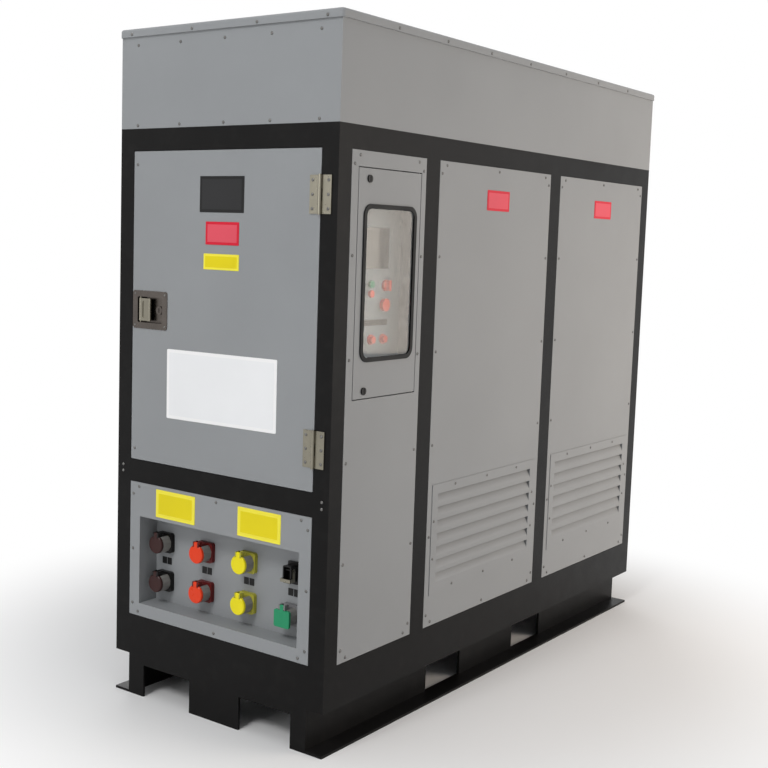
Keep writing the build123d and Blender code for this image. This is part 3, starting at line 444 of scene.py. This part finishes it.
def socket_collars():
    """A grey moulded sleeve round each socket's collar, with ribs for the grip."""
    bm = bmesh.new()
    for low, high in socket_solids():
        half = (high.x - low.x) / 2
        centre = Vector(((low.x + high.x) / 2, 0, low.z + half))
        y0, y1 = high.y - FLANGE_T - COLLAR_L + SLEEVE_BACK, high.y - FLANGE_T
        rings = []
        for i in range(SLEEVE_STEPS + 1):
            a = math.radians(SLEEVE_FROM + (SLEEVE_TO - SLEEVE_FROM) * i / SLEEVE_STEPS)
            spoke = Vector((math.cos(a), 0, math.sin(a)))
            outer = SLEEVE_OUTER + (RIB_OUT if i % 4 in (1, 2) else 0.0)
            section = ((SLEEVE_INNER, y0), (SLEEVE_OUTER, y0), (SLEEVE_OUTER, y0 + LIP_END),
                       (outer, y0 + RIB_START), (outer, y1), (SLEEVE_INNER, y1))
            rings.append([bm.verts.new(centre + spoke * r + Vector((0, y, 0)))
                          for r, y in section])
        skin(bm, rings)
    piece("socket_collars", bm, "collar", "root")


# ---- screws ---------------------------------------------------------------------------
def dome_head(bm, foot, normal, r, height):
    """A pan head with a round dip in its top."""
    u = normal.orthogonal().normalized()
    v = normal.cross(u)
    rings = []
    for wide, tall in HEAD_SECTION:
        ring = []
        for i in range(HEAD_SIDES):
            a = 2 * math.pi * i / HEAD_SIDES
            spoke = u * math.cos(a) + v * math.sin(a)
            ring.append(bm.verts.new(foot + spoke * (r * wide) + normal * (height * tall)))
        rings.append(ring)
    skin(bm, rings)


def screw_piece(name, body, heads):
    """One piece of screw heads, each given as (foot, normal, radius, height)."""
    bm = bmesh.new()
    for foot, normal, r, height in heads:
        dome_head(bm, foot, normal, r, height)
    return piece(name, bm, "screw", body, smooth=True)


def screw_heads(node, name):
    """Domed heads in place of a CAD node of plain screws."""
    middle_y = (FRONT_Y + REAR_Y) / 2
    heads = []
    for low, high in islands(NODES[node]):
        size, centre = high - low, (low + high) / 2
        axis = min(range(3), key=lambda k: size[k])
        outward = centre.x if axis == 0 else centre.y - middle_y
        normal = Vector((0, 0, 0))
        normal[axis] = 1 if outward > 0 else -1
        foot = centre - normal * size[axis] / 2
        heads.append((foot, normal, max(size) / 2 * HEAD_SHARE, size[axis]))
    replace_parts(screw_piece(name, "root", heads), node)


def latch_screws():
    """One head in each corner of the latch pan."""
    low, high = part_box("latch_pan")
    heads = [(Vector((x, low.y, z)), OUT_FRONT, *LATCH_HEAD)
             for x in (low.x + LATCH_HEAD_IN, high.x - LATCH_HEAD_IN)
             for z in (low.z + LATCH_HEAD_IN, high.z - LATCH_HEAD_IN)]
    screw_piece("latch_screws", "front_door", heads)


def hinge_screws():
    """Three heads up each hinge leaf."""
    spans = [(low.z, high.z) for low, high in islands(NODES["hinge_door_leaves"])]
    for node, body in (("hinge_post_leaves", "root"), ("hinge_door_leaves", "front_door")):
        low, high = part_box(node)
        x = high.x - HINGE_HEAD_IN if body == "root" else low.x + HINGE_HEAD_IN
        heads = [(Vector((x, FRONT_Y - LEAF_T, z)), OUT_FRONT, *HINGE_HEAD)
                 for z0, z1 in spans
                 for z in (z0 + HINGE_HEAD_END, (z0 + z1) / 2, z1 - HINGE_HEAD_END)]
        screw_piece(node + "_screws", body, heads)


def door_screws():
    """Two small heads at the free edge of the front door."""
    low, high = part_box("front_door")
    heads = [(Vector((low.x + EDGE_HEAD_IN, low.y, z)), OUT_FRONT, *EDGE_HEAD)
             for z in (high.z - EDGE_HEAD_TOP, low.z + EDGE_HEAD_FOOT)]
    screw_piece("door_edge_screws", "front_door", heads)


# ---- louvres --------------------------------------------------------------------------
def louvre_section():
    """Points (in, up) of a louvre's tongue: flush at its foot, set back at its free top edge."""
    points = []
    for k in range(LOUVRE_STEPS + 1):
        t = k / LOUVRE_STEPS
        points.append((LOUVRE_DEEP * t ** LOUVRE_BEND, LOUVRE_H * t))
    return points


def louvre_faces(low, high):
    """One plate as lists of (in, y, z) corners: flat strips, tongues and the tongues' ends."""
    y0, y1 = low.y + LOUVRE_END, high.y - LOUVRE_END
    strips = ((low.y, y0), (y0, y1), (y1, high.y))
    section = louvre_section()
    faces = []

    def flat(ya, yb, za, zb):
        faces.append([(0, ya, za), (0, yb, za), (0, yb, zb), (0, ya, zb)])
    level = high.z
    for i in range(LOUVRE_N):
        top = high.z - LOUVRE_FIRST - i * LOUVRE_PITCH
        foot = top - LOUVRE_H
        for ya, yb in strips:
            flat(ya, yb, top, level)
        for ya, yb in strips[::2]:
            flat(ya, yb, foot, top)
        for (back0, up0), (back1, up1) in zip(section, section[1:]):
            faces.append([(back0, y0, foot + up0), (back0, y1, foot + up0),
                          (back1, y1, foot + up1), (back1, y0, foot + up1)])
        for y in (y0, y1):
            faces.append([(back, y, foot + up) for back, up in section] + [(0, y, top)])
        level = foot
    for ya, yb in strips:
        flat(ya, yb, low.z, level)
    return faces


def linked_faces(start):
    """Every face joined to start over shared edges."""
    found, todo = {start}, [start]
    while todo:
        for edge in todo.pop().edges:
            for other in edge.link_faces:
                if other not in found:
                    found.add(other)
                    todo.append(other)
    return list(found)


def louvre_plates():
    """Screwed-on intake plates with louvres pressed inward, open along their top edges."""
    bm = bmesh.new()
    corners = {}
    for low, high in islands(NODES["louvre_plates"]):
        side = 1 if high.x > 0 else -1
        for face in louvre_faces(low, high):
            verts = []
            for back, y, z in face:
                point = ((LOUVRE_FACE - back) * side, y, z)
                key = tuple(round(c, 6) for c in point)
                if key not in corners:
                    corners[key] = bm.verts.new(point)
                verts.append(corners[key])
            bm.faces.new(verts)
    bmesh.ops.recalc_face_normals(bm, faces=bm.faces)
    for face in bm.faces:
        middle = face.calc_center_median().x
        if abs(abs(middle) - LOUVRE_FACE) < 1e-6 and face.normal.x * middle < 0:
            bmesh.ops.reverse_faces(bm, faces=linked_faces(face))
    bmesh.ops.solidify(bm, geom=bm.faces[:], thickness=LOUVRE_SHEET)
    obj = piece("louvre_plates_pressed", bm, "panel", "root")
    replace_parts(obj, "louvre_plates")


def louvre_screws():
    """The screws that hold each louvre plate: three above and below, two up each end."""
    heads = []
    for low, high in islands(NODES["louvre_plates"]):
        normal = Vector((1 if high.x > 0 else -1, 0, 0))
        x = LOUVRE_FACE * normal.x
        length, height = high.y - low.y, high.z - low.z
        for k in (0.2, 0.5, 0.8):
            for z in (low.z + LOUVRE_HEAD_FOOT, high.z - LOUVRE_HEAD_TOP):
                heads.append((Vector((x, low.y + length * k, z)), normal, *LOUVRE_HEAD))
        for k in (0.33, 0.67):
            for y in (low.y + LOUVRE_HEAD_IN, high.y - LOUVRE_HEAD_IN):
                heads.append((Vector((x, y, low.z + height * k)), normal, *LOUVRE_HEAD))
    screw_piece("louvre_screws", "root", heads)


# ---- stage ----------------------------------------------------------------------------
SEEN = ("Is Camera Ray", "Is Glossy Ray", "Is Transmission Ray")


def seen_rays(tree):
    """1 for the rays that show the background: straight, mirrored, or through glass."""
    path = tree.nodes.new("ShaderNodeLightPath")
    value = path.outputs[SEEN[0]]
    for name in SEEN[1:]:
        either = add(tree, "ShaderNodeMath", operation="MAXIMUM")
        tree.links.new(value, either.inputs[0])
        tree.links.new(path.outputs[name], either.inputs[1])
        value = either.outputs[0]
    return value


FADE_FROM, FADE_TO = 0.9, 2.0
FLOOR_HALF = 30.0
FLOOR_TINTS = [(0.3, (0.86, 0.86, 0.86)), (0.7, (0.89, 0.89, 0.89))]


def floor_material():
    """Pale near the machine, where it keeps the shadow, and plain white further out."""
    mat, tree, shader = new_material("stage_white")
    put(shader, {"Roughness": 0.75, "Specular IOR Level": 0.1})
    tree.links.new(ramp(tree, noise(tree, 0.6, 2.0), FLOOR_TINTS), shader.inputs["Base Color"])
    coords = tree.nodes.new("ShaderNodeTexCoord")
    far = add(tree, "ShaderNodeVectorMath", operation="LENGTH")
    tree.links.new(coords.outputs["Object"], far.inputs[0])
    fade = tree.nodes.new("ShaderNodeMapRange")
    fade.interpolation_type = "SMOOTHSTEP"
    put(fade, {"From Min": FADE_FROM, "From Max": FADE_TO})
    tree.links.new(far.outputs["Value"], fade.inputs["Value"])
    share = add(tree, "ShaderNodeMath", operation="MULTIPLY")
    tree.links.new(fade.outputs["Result"], share.inputs[0])
    tree.links.new(seen_rays(tree), share.inputs[1])
    white = add(tree, "ShaderNodeEmission", Color=(1, 1, 1, 1), Strength=1.0)
    mix_surface(tree, share.outputs[0], shader, white, "Material Output")
    return mat


def stage():
    bm = bmesh.new()
    half = FLOOR_HALF
    corners = ((-half, -half), (half, -half), (half, half), (-half, half))
    bm.faces.new([bm.verts.new((x, y, 0)) for x, y in corners])
    mesh = bpy.data.meshes.new("floor")
    bm.to_mesh(mesh)
    bm.free()
    mesh.materials.append(floor_material())
    floor = bpy.data.objects.new("floor", mesh)
    bpy.context.scene.collection.objects.link(floor)


# Each lamp: name, place, target, width and height, power, colour, whether mirrors show it.
WHITE, WARM, WARMER = (1, 1, 1), (1.0, 0.90, 0.80), (1.0, 0.82, 0.66)
LAMPS = (
    ("key", (-1.6, -8.0, 2.6), (0, 0, 0.9), (5.0, 4.0), 105, WHITE, True),
    ("front_top", (0.6, -8.2, 8.0), (0, -1.0, 0.8), (2.6, 2.6), 375, WHITE, True),
    ("side_fill", (5.6, 2.6, 1.7), (0.4, 0.9, 1.1), (3.6, 3.0), 150, WARM, True),
    ("side_warm", (2.3, 1.7, 1.35), (0.4, 0.7, 1.05), (1.4, 1.0), 15, WARMER, False),
    ("top", (0.6, -1.8, 6.5), (0, -0.6, 0), (5, 5), 70, WHITE, True),
    ("back_fill", (-4.5, 4.5, 3.0), (0, 0, 1), (4, 3), 90, WHITE, True),
)
SKY, SKY_STRENGTH = (0.96, 0.97, 1.0, 1), 0.26


def area(name, place, target, size, power, colour, mirrored):
    data = bpy.data.lights.new(name, "AREA")
    data.shape = "RECTANGLE"
    data.size, data.size_y = size
    data.energy = power
    data.color = colour
    lamp = bpy.data.objects.new(name, data)
    lamp.location = place
    lamp.rotation_euler = (Vector(target) - Vector(place)).to_track_quat("-Z", "Y").to_euler()
    lamp.visible_glossy = mirrored
    bpy.context.scene.collection.objects.link(lamp)


def lights():
    """Six soft lamps, and a world that lights dimly but shows as white."""
    for lamp in LAMPS:
        area(*lamp)
    world = bpy.data.worlds.new("soft_room")
    world.use_nodes = True
    bpy.context.scene.world = world
    tree = world.node_tree
    back = tree.nodes["Background"]
    put(back, {"Color": SKY, "Strength": SKY_STRENGTH})
    white = add(tree, "ShaderNodeBackground", Color=(1, 1, 1, 1), Strength=1.0)
    mix_surface(tree, seen_rays(tree), back, white, "World Output")


# The camera stands off the near corner of the cabinet, turned to it and dipped a little.
EYE_FROM_CORNER = Vector((2.0557, -2.6445, 1.4876))
FORWARD = Vector((-0.58312, 0.805192, -0.107877))
RIGHT = Vector((0.807367, 0.589123, 0.03305))
FOCAL_OVER_WIDTH = 1.586
SENSOR = 36.0
SHIFT_X, SHIFT_Y = 0.0131, -0.0170


def camera():
    data = bpy.data.cameras.new("camera")
    data.sensor_width = SENSOR
    data.lens = FOCAL_OVER_WIDTH * SENSOR
    data.shift_x = SHIFT_X
    data.shift_y = SHIFT_Y
    cam = bpy.data.objects.new("camera", data)
    forward = FORWARD.normalized()
    right = (RIGHT - forward * RIGHT.dot(forward)).normalized()
    up = right.cross(forward)
    eye = Vector((SIDE_X, FRONT_Y, 0)) + EYE_FROM_CORNER
    axes = Matrix((right, up, -forward)).transposed().to_4x4()
    cam.matrix_world = Matrix.Translation(eye) @ axes
    bpy.context.scene.collection.objects.link(cam)
    bpy.context.scene.camera = cam


dress_nodes()
bare_plates()
socket_tags()
socket_collars()
fascia_strip()
screw_heads("panel_screws", "panel_screw_heads")
screw_heads("hood_screws", "hood_screw_heads")
latch_screws()
hinge_screws()
door_screws()
louvre_plates()
louvre_screws()
stage()
lights()
camera()
bpy.context.scene.view_settings.view_transform = "Standard"
